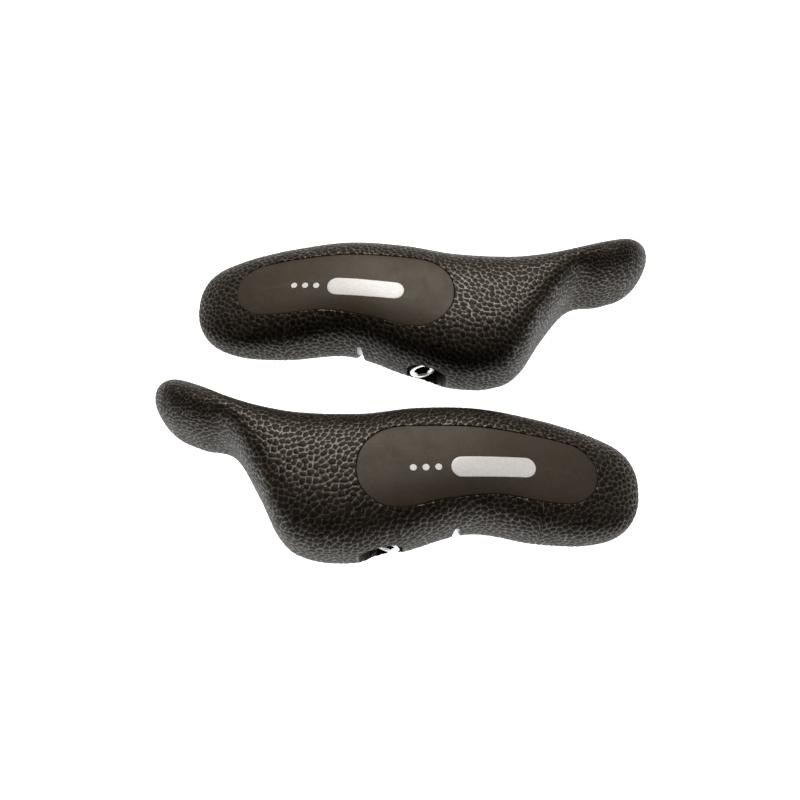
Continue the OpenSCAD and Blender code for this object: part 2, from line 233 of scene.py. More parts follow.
# ---------------------------------------------------------------- mesh helpers
def new_object(name, points, faces):
    """A mesh object in millimetres. to_frame() turns it into metres and moves it to its side."""
    mesh = bpy.data.meshes.new(name)
    mesh.from_pydata([tuple(p) for p in np.asarray(points, float)], [], faces)
    mesh.validate()
    made = bpy.data.objects.new(name, mesh)
    bpy.context.scene.collection.objects.link(made)
    return made


def grid_faces(rows, cols, first=0):
    """Quads of a grid of points, row by row, with each row closed into a ring."""
    return [
        (first + i * cols + j, first + i * cols + (j + 1) % cols,
         first + (i + 1) * cols + (j + 1) % cols, first + (i + 1) * cols + j)
        for i in range(rows - 1)
        for j in range(cols)
    ]


def closed_tube(name, rings, low_tip, high_tip):
    """A closed mesh from rings of equally many points, ending in a point at each end."""
    rows, cols = rings.shape[:2]
    count = rows * cols
    faces = grid_faces(rows, cols)
    faces += [(count, (j + 1) % cols, j) for j in range(cols)]
    faces += [(count + 1, (rows - 1) * cols + j, (rows - 1) * cols + (j + 1) % cols) for j in range(cols)]
    return new_object(name, np.concatenate([rings.reshape(-1, 3), [low_tip, high_tip]]), faces)


def turned_outwards(made):
    """Turns every face of a closed mesh to look outwards."""
    bpy.context.view_layer.update()
    mesh = made.data
    mesh.calc_loop_triangles()
    co = vertices_of(mesh)
    tris = np.array([t.vertices[:] for t in mesh.loop_triangles])
    a, b, c = co[tris[:, 0]], co[tris[:, 1]], co[tris[:, 2]]
    if np.einsum("ij,ij->i", a, np.cross(b, c)).sum() < 0:
        mesh.flip_normals()
    return made


def vertices_of(mesh):
    """The places of a mesh's vertices, one row each."""
    co = np.empty(len(mesh.vertices) * 3, np.float32)
    mesh.vertices.foreach_get("co", co)
    return co.reshape(-1, 3).astype(float)


def form(name, t, step, around):
    """The body's form, t under the skin, as a closed mesh."""
    xs = stations(step, t)
    angles = np.arange(around) * 2 * math.pi / around
    tips = [skin(np.array([x]), np.array([0.0]), t)[0] for x in (t - HORN_REACH, TONGUE_REACH - t)]
    return turned_outwards(closed_tube(name, skin(xs[:, None], angles[None], t), *tips))


def prism(name, outline, low, high, matrix=None):
    """An outline extruded from low to high along Z. The outline's points are (x, y)."""
    n = len(outline)
    points = [(x, y, z) for z in (low, high) for x, y in outline]
    faces = grid_faces(2, n) + [tuple(range(n))[::-1], tuple(range(n, 2 * n))]
    made = new_object(name, points, faces)
    if matrix is not None:
        made.data.transform(matrix)
    return turned_outwards(made)


def circle(r, n, centre=(0, 0), start=0.0, arc=2 * math.pi, close=False):
    """n points along a circle or an arc. close puts the last one at the arc's end."""
    steps = n - 1 if close else n
    return [
        (centre[0] + r * math.cos(start + arc * i / steps), centre[1] + r * math.sin(start + arc * i / steps))
        for i in range(n)
    ]


def stadium(length, width, n=24):
    """A round-ended bar's outline, along X and centred at the origin."""
    r, end = width / 2, (length - width) / 2
    right = circle(r, n, (end, 0), -math.pi / 2, math.pi, True)
    left = circle(r, n, (-end, 0), math.pi / 2, math.pi, True)
    run = [end * (1 - 2 * k / n) for k in range(1, n)]
    return right + [(x, r) for x in run] + left + [(-x, -r) for x in run]


def lathe(name, profile, n=64, cap=True):
    """A profile of (radius, height) points turned about Z."""
    angles = np.arange(n) * 2 * math.pi / n
    rings = np.array([[(r * math.cos(a), r * math.sin(a), z) for a in angles] for r, z in profile])
    faces = grid_faces(len(profile), n)
    if cap:
        faces += [tuple(range(n))[::-1], tuple(range((len(profile) - 1) * n, len(profile) * n))]
    else:
        faces += [(i + (len(profile) - 1) * n, (i + 1) % n + (len(profile) - 1) * n, (i + 1) % n, i) for i in range(n)]
    return turned_outwards(new_object(name, rings.reshape(-1, 3), faces))


def combined(made, others, operation="DIFFERENCE"):
    """made with the other closed meshes taken off it or added to it. The others are used up."""
    for other in others:
        step = made.modifiers.new(other.name, "BOOLEAN")
        step.operation = operation
        step.solver = "MANIFOLD"
        step.object = other
    bpy.context.view_layer.update()
    graph = bpy.context.evaluated_depsgraph_get()
    mesh = bpy.data.meshes.new_from_object(made.evaluated_get(graph))
    made.modifiers.clear()
    made.data = mesh
    mesh.name = made.name
    for other in others:
        bpy.data.objects.remove(other)
    return made


def shade(made, degrees=30):
    """Smooth shading, with edges sharper than this kept crisp."""
    made.data.shade_smooth()
    made.data.set_sharp_from_angle(angle=math.radians(degrees))
    return made


# ---------------------------------------------------------------- the two sides
right_axis = Vector(joints["right_bolt_turn"]["axis"])
RIGHT_TURN = math.atan2(right_axis.y, right_axis.x) - math.atan2(bolt_axis.y, -bolt_axis.x)
right_place = Matrix.Translation(Vector(mounts["right_bar_bore"]["pos_m"]) / MM)
SIDES = {
    "left": Matrix.Identity(4),
    "right": right_place @ Matrix.Rotation(RIGHT_TURN, 4, "Z") @ Matrix.Scale(-1, 4, (1, 0, 0)),
}
in_clamp = Matrix.Rotation(BOLT_TURN, 4, "Z")
along_bolt = in_clamp @ Matrix.Translation((BOLT_X, 0, BOLT_Z)) @ Matrix.Rotation(math.pi / 2, 4, "X")
exit_way = in_clamp @ Matrix.Translation((BEND_X, SLIT_Y, 0)) @ Matrix.Rotation(-math.pi / 2 - EXIT_TURN, 4, "Z")


def to_frame(made, side):
    """Moves a finished mesh to its side and turns it into metres."""
    matrix = Matrix.Scale(MM, 4) @ SIDES[side]
    made.data.transform(matrix)
    if matrix.is_negative:
        made.data.flip_normals()
    made.data.update()
    return made


def stands_for(made, side, part, body):
    """Names the piece, hides its CAD node and ties it to its body."""
    made.name = f"{side}_{part}_visual"
    made.data.name = made.name
    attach(made, f"{side}_{body}")
    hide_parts(f"{side}_{part}")
    return made


# ---------------------------------------------------------------- rubber cover
SKIN_STEP = 0.5
SKIN_AROUND = 236
FINE_AROUND = 1440
UNDERSIDE_SHARE = 0.3
UNDERSIDE_H = 0.05
FLAT_H = 0.01
PLAIN_H = 1.2
PEBBLE = 1.62
FINE_PEBBLE = 1.18
PEBBLE_DEPTH = 0.22
FINE_DEPTH = 0.16
CHANNEL = 0.14
PEBBLE_EDGE = 0.8
SIZE_SPREAD = 0.16
COVER_SHARP = 50
GATE_AT = (33, 3)
GATE_DEPTH = 0.7


def skin_rings():
    """Rings of points evenly spread round each section, with fewer on the flat underside and one on each of its
    edges."""
    xs = stations(SKIN_STEP)
    fine = np.linspace(0, 2 * math.pi, FINE_AROUND + 1)
    loops = skin(xs[:, None], fine[None])
    heights = loops[..., 2].copy()
    loops[..., 2] = np.maximum(heights, 0)
    lengths = np.linalg.norm(np.diff(loops, axis=1), axis=-1)
    lengths *= np.where(loops[:, 1:, 2] > UNDERSIDE_H, 1, UNDERSIDE_SHARE)
    way = np.concatenate([np.zeros((len(xs), 1)), np.cumsum(lengths, 1)], 1)
    wanted = np.arange(SKIN_AROUND) / SKIN_AROUND
    angles = np.array([np.interp(wanted * w[-1], w, fine) for w in way])
    for ring, h in zip(angles, heights):
        for k in np.flatnonzero(np.diff(h > 0)):
            edge = fine[k] + (fine[k + 1] - fine[k]) * h[k] / (h[k] - h[k + 1])
            ring[np.argmin(np.abs(ring - edge))] = edge
    rings = skin(xs[:, None], angles)
    rings[..., 2] = np.where(rings[..., 2] > FLAT_H, rings[..., 2], 0)
    return rings


def ring_normals(rings):
    """The outward normals of a grid of rings."""
    along = np.gradient(rings, axis=0)
    around = np.roll(rings, -1, 1) - np.roll(rings, 1, 1)
    normals = np.cross(around, along)
    normals /= np.maximum(np.linalg.norm(normals, axis=-1, keepdims=True), 1e-9)
    middle = rings.mean(1, keepdims=True)
    if ((rings - middle) * normals).sum() < 0:
        normals = -normals
    return normals


def fineness(points, up):
    """0 where the pebbles are large, to 1 where they are small and shallow: the palm edge and the tongue's top."""
    _, middle, half_w, *_ = section(points[:, 0], 0)
    across = (points[:, 1] - middle) / np.maximum(half_w, 1)
    palm_edge = smooth(0.45, 0.85, across)
    tongue_top = smooth(22, 44, points[:, 0]) * smooth(0.1, 0.6, up)
    return np.clip(palm_edge + tongue_top, 0, 1)


def scattered(points, spacing, draw):
    """Seeds picked from the points in a random order, no two nearer than their spacing."""
    cell = spacing.max()
    taken = {}
    keys = np.floor(points / cell).astype(int)
    seeds = []
    for i in draw.permutation(len(points)):
        kx, ky, kz = keys[i]
        p = points[i]
        near = (
            q
            for dx in (-1, 0, 1)
            for dy in (-1, 0, 1)
            for dz in (-1, 0, 1)
            for q in taken.get((kx + dx, ky + dy, kz + dz), ())
        )
        reach = spacing[i] ** 2
        if all((p[0] - q[0]) ** 2 + (p[1] - q[1]) ** 2 + (p[2] - q[2]) ** 2 > reach for q in near):
            taken.setdefault((kx, ky, kz), []).append(tuple(p))
            seeds.append(i)
    return np.array(seeds)


class Pebbles:
    """The leather-like pattern: cells round scattered seeds, each cell a low pebble with a channel round it."""

    def __init__(self, points, spacing, draw):
        chosen = scattered(points, spacing, draw)
        self.spacing = spacing[chosen]
        self.size = draw.uniform(-SIZE_SPREAD, SIZE_SPREAD, len(chosen)) * self.spacing
        self.tone = draw.uniform(0, 1, len(chosen))
        self.tree = kdtree.KDTree(len(chosen))
        for k, p in enumerate(points[chosen]):
            self.tree.insert(p, k)
        self.tree.balance()

    def at(self, points):
        """For each point: 0 in a channel to 1 on a pebble, and its pebble's tone."""
        found = np.array([[(k, d) for _, k, d in self.tree.find_n(p, 4)] for p in points])
        k = found[..., 0].astype(int)
        d = found[..., 1] - self.size[k]
        order = np.argsort(d, axis=1)[:, :2]
        near = np.take_along_axis(d, order, 1)
        nearest = np.take_along_axis(k, order, 1)[:, 0]
        margin = (near[:, 1] - near[:, 0]) / self.spacing[nearest]
        return np.clip(margin / PEBBLE_EDGE, 0, 1), self.tone[nearest]


def set_attribute(mesh, name, values):
    """Gives each vertex a number that a material can read."""
    mesh.attributes.new(name, "FLOAT", "POINT").data.foreach_set("value", values.astype(np.float32))


def slit_cutters():
    """The slit through the cover, and its flared mouth."""
    run = [(BEND_X - SLIT_W / 2, SLIT_Y - SLIT_W / 2), (0, SLIT_Y - SLIT_W / 2),
           (0, SLIT_Y + SLIT_W / 2), (BEND_X - SLIT_W / 2, SLIT_Y + SLIT_W / 2)]
    shoulder = NOTCH_H - SHOULDER_H
    flare = [(-NOTCH_W / 2, -1), (NOTCH_W / 2, -1), (SLIT_W / 2, shoulder), (SLIT_W / 2.4, shoulder + 1.6),
             (SLIT_W / 4, NOTCH_H - 0.3), (0, NOTCH_H), (-SLIT_W / 4, NOTCH_H - 0.3),
             (-SLIT_W / 2.4, shoulder + 1.6), (-SLIT_W / 2, shoulder)]
    upright = Matrix(((0, 0, 1, 0), (1, 0, 0, 0), (0, 1, 0, 0), (0, 0, 0, 1)))
    return [
        prism("slit_run", run, -1, NOTCH_H - 1, in_clamp),
        prism("slit_mouth", flare, 0, EXIT_LEN, exit_way @ upright),
    ]


def recess_cutter():
    """The pocket that the bolt's head lies in."""
    corners = [(RECESS_SHIFT, RECESS_RISE), (0, RECESS_RISE), (0, 0), (RECESS_SHIFT, 0)]
    outline = [
        p for k, at in enumerate(corners) for p in circle(RECESS_R, 17, at, k * math.pi / 2, math.pi / 2, True)
    ]
    return prism("recess", outline, -SEAT_Y, 1.5 * FINGER_Y, along_bolt)


def gate_cutter():
    """The small dimple that moulding leaves low on the finger side, near the tongue."""
    x, z = GATE_AT
    angles = np.linspace(math.pi, 1.5 * math.pi, 200)
    wall = skin(np.full(len(angles), float(x)), angles)
    mouth = wall[np.argmin(np.abs(wall[:, 2] - z))]
    dimple = lathe("gate", [(0.25, -GATE_DEPTH), (0.6, -GATE_DEPTH * 0.7), (0.85, 0), (1.0, 1.5)], 24)
    dimple.data.transform(Matrix.Translation(mouth) @ Matrix.Rotation(math.pi / 2, 4, "X"))
    return dimple


def clamp_cutter():
    """The clamp's own solid, joined up along its edges."""
    node = frame["nodes"]["left_clamp"]
    made = bpy.data.objects.new("clamp_cutter", node.data.copy())
    bpy.context.scene.collection.objects.link(made)
    made.data.transform(Matrix.Scale(1 / MM, 4))
    b = bmesh.new()
    b.from_mesh(made.data)
    bmesh.ops.remove_doubles(b, verts=b.verts, dist=0.002)
    b.to_mesh(made.data)
    b.free()
    return turned_outwards(made)


def make_cover(side, seed):
    draw = np.random.default_rng(seed)
    rings = skin_rings()
    normals = ring_normals(rings)
    flat, outward = rings.reshape(-1, 3), normals.reshape(-1, 3)
    fine = fineness(flat, outward[:, 2])
    spacing = (PEBBLE + (FINE_PEBBLE - PEBBLE) * fine) * draw.uniform(0.85, 1.12, len(flat))
    pebbles = Pebbles(flat, spacing, draw)
    height, _ = pebbles.at(flat)
    depth = (PEBBLE_DEPTH + (FINE_DEPTH - PEBBLE_DEPTH) * fine) * smooth(UNDERSIDE_H, PLAIN_H, flat[:, 2])
    dome = np.sqrt(1 - (1 - np.clip((height - CHANNEL) / (1 - CHANNEL), 0, 1)) ** 2)
    rings = (flat - outward * (depth * (1 - dome))[:, None]).reshape(rings.shape)
    rings[..., 2] = np.maximum(rings[..., 2], 0)
    tips = [skin(np.array([x]), np.array([0.0]))[0] for x in (-HORN_REACH, TONGUE_REACH)]
    made = turned_outwards(closed_tube("cover", rings, *tips))
    ring_way = circle(RING_R + BOND_GAP, 96)
    combined(made, [
        form("cavity", COVER_T, 3, 64),
        prism("ring_way", ring_way, -1, CLAMP_DEPTH + BOND_GAP),
        *slit_cutters(),
        recess_cutter(),
        pad_solid("pad_pocket", PAD_GROOVE, lambda x, y: roof(x, y, PAD_DROP + PAD_T + BOND_GAP), 2 * BODY_H),
        clamp_cutter(),
        gate_cutter(),
    ])
    points = vertices_of(made.data)
    height, tone = pebbles.at(points)
    wall = smooth(0.35, 0.6, depth_at(points))
    bare = np.maximum(wall, 1 - smooth(UNDERSIDE_H, PLAIN_H, points[:, 2]))
    set_attribute(made.data, "pebble", np.maximum(height, bare))
    set_attribute(made.data, "tone", tone * (1 - bare) + 0.5 * bare)
    shade(made, COVER_SHARP)
    to_frame(made, side)
    made.data.materials.clear()
    made.data.materials.append(MATERIALS["cover_rubber"])
    return stands_for(made, side, "rubber_cover", "bar_end")


# ---------------------------------------------------------------- palm pad and badge
def pad_outline(steps=72):
    """The pad's outline as two sides of points, from its near end to its far end."""
    s = (1 - np.cos(np.linspace(0, math.pi, steps + 1))) / 2
    palm = PALM_Y * curve_at(PAD_PALM_LINE, s)
    finger = FINGER_Y * curve_at(PAD_FINGER_LINE, s)
    open_up = opened(s * PAD_LEN, PAD_NEAR_R) * opened((1 - s) * PAD_LEN, PAD_FAR_R)
    x = -PAD_START - PAD_LEN * s
    side = (palm - finger) / 2 * open_up
    middle = (palm + finger) / 2
    palm_side = np.stack([x, middle + side], -1)
    finger_side = np.stack([x, middle - side], -1)
    return np.concatenate([palm_side, finger_side[-2:0:-1]])


def grown(outline, g):
    """An outline moved outwards by g, or inwards where g is negative."""
    along = np.roll(outline, -1, 0) - np.roll(outline, 1, 0)
    out = np.stack([along[:, 1], -along[:, 0]], -1)
    out /= np.linalg.norm(out, axis=1, keepdims=True)
    if ((outline - outline.mean(0)) * out).sum() < 0:
        out = -out
    return outline + out * g


def inward_rings(outline, insets, rings, spine):
    """Loops of an outline: first by the insets, then shrinking in equal steps towards a spine along X."""
    loops = [grown(outline, -d) for d in insets]
    inner = loops[-1]
    low, high = inner[:, 0].min() + spine, inner[:, 0].max() - spine
    x = np.clip(inner[:, 0], low, high)
    order = np.argsort(inner[:, 0])
    palm = np.array([inner[np.abs(inner[:, 0] - v) < 1.5, 1].max() for v in x])
    finger = np.array([inner[np.abs(inner[:, 0] - v) < 1.5, 1].min() for v in x])
    bones = np.stack([x, (palm + finger) / 2], -1)
    for k in range(1, rings + 1):
        loops.append(inner + (bones - inner) * k / (rings + 1))
    return loops


def capped(name, loops, top, bottom, spare=()):
    """A closed solid over nested loops: top and bottom give the heights of a loop's points, given the loop's number."""
    n, m = len(loops[0]), len(loops)
    upper = [np.column_stack([p, top(p, k)]) for k, p in enumerate(loops)]
    lower = [np.column_stack([p, bottom(p, k)]) for k, p in enumerate(loops)]
    points = np.concatenate(upper[::-1] + lower)
    faces = grid_faces(2 * m, n)
    faces += [tuple(range(n))[::-1], tuple(range((2 * m - 1) * n, 2 * m * n))]
    return turned_outwards(new_object(name, points, faces))


def pad_solid(name, growth, bottom, top_height):
    """A prism over the pad's outline, from a bottom surface to a level top."""
    outline = grown(pad_outline(), growth)
    loops = inward_rings(outline, [0], 10, PAD_SPINE)

    def level(p, k):
        return np.full(len(p), float(top_height))

    def under(p, k):
        return bottom(p[:, 0], p[:, 1])

    return capped(name, loops, level, under)


PAD_INSETS = [0, 0.03, 0.1, 0.2, 0.34, 0.5, 0.8, 1.3]
PAD_ROUND = 0.3
PAD_SWELL = 0.1


def make_pad(side):
    """The palm pad with its rounded rim."""
    loops = inward_rings(grown(pad_outline(180), PAD_SWELL), PAD_INSETS, 22, PAD_SPINE)

    def top(p, k):
        inset = PAD_INSETS[min(k, len(PAD_INSETS) - 1)]
        edge = max(0.0, 1 - inset / PAD_ROUND)
        drop = PAD_ROUND * (1 - math.sqrt(max(0.0, 1 - edge**2)))
        return roof(p[:, 0], p[:, 1], PAD_DROP) - drop

    def bottom(p, k):
        return roof(p[:, 0], p[:, 1], PAD_DROP + PAD_T)

    made = shade(capped("pad", loops, top, bottom), 60)
    to_frame(made, side)
    made.data.materials.append(MATERIALS["pad_rubber"])
    return stands_for(made, side, "palm_pad", "bar_end")


def badge_islands(flip):
    """The bar and its three dots, each as (outline, centre), on the pad."""
    turn = np.array([[math.cos(BADGE_LEAN), math.sin(BADGE_LEAN)], [-math.sin(BADGE_LEAN), math.cos(BADGE_LEAN)]])
    dot_d = BADGE_W / 3
    shapes = [(stadium(BADGE_LEN, BADGE_W), BADGE_SHIFT)]
    shapes += [(circle(dot_d / 2, 28), BADGE_SHIFT - BADGE_LEN / 2 - i * dot_d * 1.8) for i in (1, 2, 3)]
    for outline, x in shapes:
        local = np.array(outline) + [x, 0]
        local[:, 0] *= flip
        centre = np.array([x * flip, 0.0])
        yield local @ turn + BADGE_PLACE, centre @ turn + BADGE_PLACE


def make_badge(side, flip):
    points, faces = [], []
    shares = [1, 0.99, 0.97, 0.9, 0.75, 0.5, 0.25]
    edge = [0.1, 0.03, 0, 0, 0, 0, 0]
    for outline, centre in badge_islands(flip):
        n, m, first = len(outline), len(shares), sum(len(p) for p in points)
        loops = [centre + (outline - centre) * k for k in shares]
        upper = [np.column_stack([p, roof(*p.T, PAD_DROP - BADGE_T) - e]) for p, e in zip(loops, edge)]
        lower = [np.column_stack([p, roof(*p.T, PAD_DROP)]) for p in loops]
        points.append(np.concatenate(upper[::-1] + lower))
        faces += grid_faces(2 * m, n, first=first)
        faces += [tuple(range(first, first + n))[::-1]]
        faces += [tuple(range(first + (2 * m - 1) * n, first + 2 * m * n))]
    made = turned_outwards(new_object("badge", np.concatenate(points), faces))
    shade(made, 40)
    to_frame(made, side)
    made.data.materials.append(MATERIALS["badge_print"])
    return stands_for(made, side, "badge", "bar_end")


# ---------------------------------------------------------------- bolt, washer and nut
def threaded_shank(name, r, low, high, pitch, depth):
    """A shank with a V thread, from low to high along Z, plain under the head."""
    around, per_turn = 40, 8
    rows = int((high - low) / pitch * per_turn)
    angles = np.arange(around) * 2 * math.pi / around
    z = np.linspace(low, high, rows + 1)[:, None]
    phase = (z / pitch - angles[None] / (2 * math.pi)) % 1
    cut = depth * (1 - np.abs(2 * phase - 1)) * smooth(high - 1, high - 3, z)
    cut = np.maximum(cut, depth * smooth(low + 0.8, low, z))
    radius = r - cut
    rings = np.stack([radius * np.cos(angles), radius * np.sin(angles), np.broadcast_to(z, radius.shape)], -1)
    faces = grid_faces(rows + 1, around)
    faces += [tuple(range(around))[::-1], tuple(range(rows * around, (rows + 1) * around))]
    return turned_outwards(new_object(name, rings.reshape(-1, 3), faces))


def rounded(corners, r, steps=5):
    """A profile with its corners rounded by r, apart from its two ends."""
    out = [corners[0]]
    for a, b, c in zip(corners, corners[1:], corners[2:]):
        a, b, c = (np.array(v, float) for v in (a, b, c))
        to_a, to_c = (a - b) / np.linalg.norm(a - b), (c - b) / np.linalg.norm(c - b)
        cut = min(r, np.linalg.norm(a - b) / 2.2, np.linalg.norm(c - b) / 2.2)
        for k in range(steps + 1):
            t = k / steps
            out.append(tuple((1 - t) ** 2 * (b + to_a * cut) + 2 * t * (1 - t) * b + t**2 * (b + to_c * cut)))
    out.append(corners[-1])
    return out


def make_bolt(side):
    """The bolt with its tapered head, its thread and its hex socket, whose inside is painted near-black as shade."""
    head_low = HEAD_TOP - HEAD_H
    corners = [(0.5, head_low), (HEAD_D / 2, head_low), (HEAD_TOP_D / 2, HEAD_TOP), (0.5, HEAD_TOP)]
    head = lathe("bolt", rounded(corners, 0.45), 96)
    shank = threaded_shank("shank", BOLT_D / 2, head_low - BOLT_LEN, head_low + 0.5, PITCH, 0.35)
    combined(head, [shank], "UNION")
    socket_r = SOCKET_AF / 2 / math.cos(math.pi / 6)
    floor, drill_r = HEAD_TOP - SOCKET_DEPTH, SOCKET_AF / 2 - 0.25
    mouth = lathe("mouth", [(SOCKET_AF / 2 - 0.2, HEAD_TOP - 0.75), (socket_r + 0.75, HEAD_TOP + 0.3)], 48)
    drill = lathe("drill", [(0.05, floor - 0.9), (drill_r, floor + 0.05), (drill_r, HEAD_TOP - 1)], 48)
    hexagon = prism("hexagon", circle(socket_r, 6), floor, HEAD_TOP + 1)
    combined(head, [hexagon, mouth, drill])
    head.data.transform(along_bolt)
    shade(head, 35)
    to_frame(head, side)
    centres = np.array([f.center[:] for f in head.data.polygons]) / MM
    inside = np.array(SIDES[side] @ along_bolt)
    local = (np.column_stack([centres, np.ones(len(centres))]) @ np.linalg.inv(inside).T)[:, :3]
    x, y, z = local.T
    # faces inside the hex socket get the near-black material, painted shade for the recess
    in_socket = (np.hypot(x, y) < socket_r - 0.02) & (z > floor - 1) & (z < HEAD_TOP - 0.3)
    head.data.materials.clear()
    head.data.materials.append(MATERIALS["bolt_chrome"])
    head.data.materials.append(MATERIALS["socket_painted_shade"])
    head.data.polygons.foreach_set("material_index", in_socket.astype(np.int32))
    return stands_for(head, side, "clamp_bolt", "bolt")


def make_washer(side):
    hole, r, t = BOLT_D / 2 + RUN_GAP, WASHER_D / 2, WASHER_T
    corners = [(hole, 0.1), (hole + 0.1, 0), (r - 0.15, 0), (r, 0.15), (r, t - 0.15), (r - 0.15, t), (hole + 0.1, t),
               (hole, t - 0.1)]
    made = lathe("washer", rounded(corners, 0.08, 3), 96, cap=False)
    made.data.transform(along_bolt @ Matrix.Translation((0, 0, -SEAT_Y)))
    shade(made, 30)
    to_frame(made, side)
    made.data.materials.append(MATERIALS["washer_steel"])
    return stands_for(made, side, "washer", "bolt_carrier")


def make_nut(side):
    """A square nut with turned-off corners on one face and a thread in its hole."""
    half = NUT_AF / 2
    corner_r = 1.1
    inset = half - corner_r
    outline = []
    for k, (sx, sy) in enumerate([(1, 1), (-1, 1), (-1, -1), (1, -1)]):
        outline += circle(corner_r, 6, (sx * inset, sy * inset), k * math.pi / 2, math.pi / 2, True)
    made = prism("nut", outline, 0, NUT_T)
    turned = lathe("turned", [(half * 1.55, -0.5), (half * 1.55, NUT_T - 1.1), (half * 1.02, NUT_T + 0.25)], 72)
    combined(made, [turned], "INTERSECT")
    combined(made, [threaded_shank("tap", BOLT_D / 2 + RUN_GAP + 0.01, -1, NUT_T + 4, PITCH, -0.25)])
    made.data.transform(along_bolt @ Matrix.Translation((0, 0, -NUT_Y - NUT_T)))
    shade(made, 30)
    to_frame(made, side)
    made.data.materials.clear()
    made.data.materials.append(MATERIALS["nut_steel"])
    return stands_for(made, side, "square_nut", "bar_end")


# ---------------------------------------------------------------- materials
class Shader:
    """A material's node tree, with short calls for what the finishes below use."""

    def __init__(self, name, **values):
        self.material = bpy.data.materials.new(name)
        self.material.use_nodes = True
        self.tree = self.material.node_tree
        self.surface = self.tree.nodes["Principled BSDF"]
        for socket, value in values.items():
            self.surface.inputs[socket.replace("_", " ")].default_value = value
        self.place = self.add("ShaderNodeTexCoord").outputs["Object"]

    def add(self, kind, inputs=None, **settings):
        node = self.tree.nodes.new(kind)
        for key, value in settings.items():
            setattr(node, key, value)
        for key, value in (inputs or {}).items():
            if isinstance(value, bpy.types.NodeSocket):
                self.tree.links.new(value, node.inputs[key])
            else:
                node.inputs[key].default_value = value
        return node

    def noise(self, size, detail=2.0, rough=0.5, stretch=None):
        """Noise of about this size in millimetres, from 0 to 1."""
        place = self.place
        if stretch:
            place = self.add("ShaderNodeMapping", {"Vector": place, "Scale": stretch}).outputs["Vector"]
        inputs = {"Vector": place, "Scale": 1 / (size * MM), "Detail": detail, "Roughness": rough}
        return self.add("ShaderNodeTexNoise", inputs).outputs["Fac"]

    def cells(self, size, feature="F1"):
        inputs = {"Vector": self.place, "Scale": 1 / (size * MM)}
        return self.add("ShaderNodeTexVoronoi", inputs, feature=feature).outputs["Distance"]

    def attribute(self, name):
        return self.add("ShaderNodeAttribute", attribute_name=name).outputs["Fac"]

    def ranged(self, value, low, high, out_low, out_high):
        inputs = {"Value": value, "From Min": low, "From Max": high, "To Min": out_low, "To Max": out_high}
        return self.add("ShaderNodeMapRange", inputs).outputs["Result"]

    def mixed(self, share, a, b):
        inputs = {"Factor": share, "A": a, "B": b}
        node = self.add("ShaderNodeMix", data_type="RGBA")
        for socket in node.inputs:
            if socket.name in inputs and (socket.type == "RGBA" or socket.identifier == "Factor_Float"):
                value = inputs[socket.name]
                if isinstance(value, bpy.types.NodeSocket):
                    self.tree.links.new(value, socket)
                else:
                    socket.default_value = value
        return [s for s in node.outputs if s.type == "RGBA"][0]

    def bump(self, height, depth, below=None):
        """A bump this many millimetres deep, over another one below it."""
        inputs = {"Height": height, "Distance": depth * MM, "Strength": 1.0}
        if below is not None:
            inputs["Normal"] = below
        return self.add("ShaderNodeBump", inputs).outputs["Normal"]

    def wire(self, **sockets):
        for socket, value in sockets.items():
            self.tree.links.new(value, self.surface.inputs[socket.replace("_", " ")])
        return self.material


def rubber_material():
    """Black-brown rubber: dark pebbles in a lighter network."""
    m = Shader("cover_rubber", Specular_Tint=(1, 0.93, 0.83, 1))
    pebble, tone = m.attribute("pebble"), m.attribute("tone")
    top = m.mixed(tone, (0.0120, 0.0088, 0.0062, 1), (0.0250, 0.0186, 0.0134, 1))
    channel = m.mixed(m.noise(0.5), (0.045, 0.038, 0.029, 1), (0.095, 0.082, 0.064, 1))
    raised = m.ranged(pebble, 0.16, 0.36, 0, 1)
    colour = m.mixed(raised, channel, top)
    grain = m.noise(0.16, 3, 0.6)
    rough = m.ranged(m.noise(1.1, 3), 0.3, 0.7, 0.34, 0.46)
    shine = m.ranged(raised, 0, 1, 0.85, 0.1)
    normal = m.bump(grain, 0.05)
    return m.wire(Base_Color=colour, Roughness=rough, Specular_IOR_Level=shine,
                  Normal=m.bump(m.noise(0.6, 2), 0.06, normal))


def pad_material():
    """Smooth brown-grey rubber with a fine even grain."""
    m = Shader("pad_rubber", Specular_IOR_Level=0.23, Specular_Tint=(1, 0.93, 0.83, 1))
    mottled = m.ranged(m.noise(2.2, 4, 0.6), 0.3, 0.7, 0, 1)
    colour = m.mixed(mottled, (0.050, 0.0390, 0.0285, 1), (0.063, 0.0490, 0.0360, 1))
    colour = m.mixed(m.ranged(m.noise(0.3, 2), 0.55, 0.8, 0, 0.5), colour, (0.078, 0.062, 0.047, 1))
    rough = m.ranged(m.noise(5, 3), 0.3, 0.7, 0.44, 0.52)
    normal = m.bump(m.cells(0.28), 0.03)
    return m.wire(Base_Color=colour, Roughness=rough, Normal=m.bump(m.noise(0.14, 2), 0.03, normal))


def badge_material():
    """White ink with the pad's grain showing through it."""
    m = Shader("badge_print", Specular_IOR_Level=0.5)
    colour = m.mixed(m.ranged(m.noise(0.8, 3), 0.35, 0.7, 0, 1), (0.80, 0.80, 0.79, 1), (0.90, 0.90, 0.89, 1))
    worn = m.ranged(m.noise(0.22, 2), 0.68, 0.78, 0, 0.35)
    rough = m.ranged(m.noise(0.6, 2), 0.3, 0.7, 0.3, 0.45)
    return m.wire(Base_Color=m.mixed(worn, colour, (0.45, 0.44, 0.42, 1)), Roughness=rough,
                  Normal=m.bump(m.cells(0.28), 0.015))


